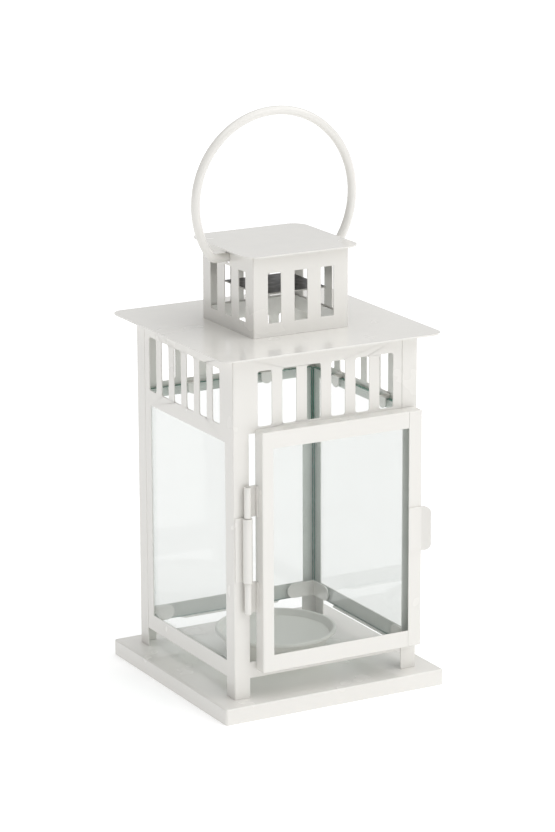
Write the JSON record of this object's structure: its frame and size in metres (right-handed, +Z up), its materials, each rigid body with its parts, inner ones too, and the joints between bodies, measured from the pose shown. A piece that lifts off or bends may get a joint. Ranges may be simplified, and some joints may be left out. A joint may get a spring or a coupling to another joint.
{
  "type": "candle lantern",
  "caption": "Square candle lantern in white painted sheet metal with glazed walls, a hinged glass door, a slotted vent chimney and a swinging ring handle.",
  "frame": {"origin": "centre of the base's underside, on the surface the lantern stands on", "axes": "+X to the right along the door face, +Y to the back wall, +Z up"},
  "size_m": [0.155, 0.1559, 0.3643],
  "materials": {
    "paint_white": "gloss",
    "dish_grey": "satin",
    "deflector_black": "satin",
    "pin_steel": "satin",
    "glass_clear": "gloss"
  },
  "bodies": {
    "lantern": {"base_tray": "paint_white", "shell_front_left": "paint_white", "shell_rear_right": "paint_white", "roof_plate": "paint_white", "cupola_wall": "paint_white", "cupola_cap": "paint_white", "heat_deflector": "deflector_black", "deflector_stud_left": "pin_steel", "deflector_stud_right": "pin_steel", "pane_left": "glass_clear", "pane_right": "glass_clear", "pane_back": "glass_clear", "pane_clip_lower_rear_left": "paint_white", "pane_clip_lower_front_left": "paint_white", "pane_clip_lower_rear_right": "paint_white", "pane_clip_lower_front_right": "paint_white", "pane_clip_upper_back_left": "paint_white", "pane_clip_upper_back_right": "paint_white", "pane_clip_upper_left_front": "paint_white", "pane_clip_upper_left_rear": "paint_white", "pane_clip_upper_right_front": "paint_white", "pane_clip_upper_right_rear": "paint_white", "candle_dish": "dish_grey", "hinge_post_leaf": "paint_white", "hinge_pin": "pin_steel"},
    "door": {"door_frame": "paint_white", "door_stile_right": "paint_white", "pane_door": "glass_clear", "pane_clip_door_lower_left": "paint_white", "pane_clip_door_lower_right": "paint_white", "pane_clip_door_upper_left": "paint_white", "pane_clip_door_upper_right": "paint_white", "door_pull": "paint_white", "hinge_door_leaf_lower": "paint_white", "hinge_door_leaf_upper": "paint_white"},
    "handle": {"ring_handle": "paint_white"}
  },
  "joints": [
    {"name": "door_hinge", "type": "hinge", "parent": "lantern", "child": "door", "pos_m": [-0.0568, -0.068, 0.1062], "axis": [0, 0, -1], "range_deg": [0, 165]},
    {"name": "handle_swing", "type": "hinge", "parent": "lantern", "child": "handle", "pos_m": [0, 0, 0.2732], "axis": [1, 0, 0], "range_deg": [-115, 115]}
  ]
}
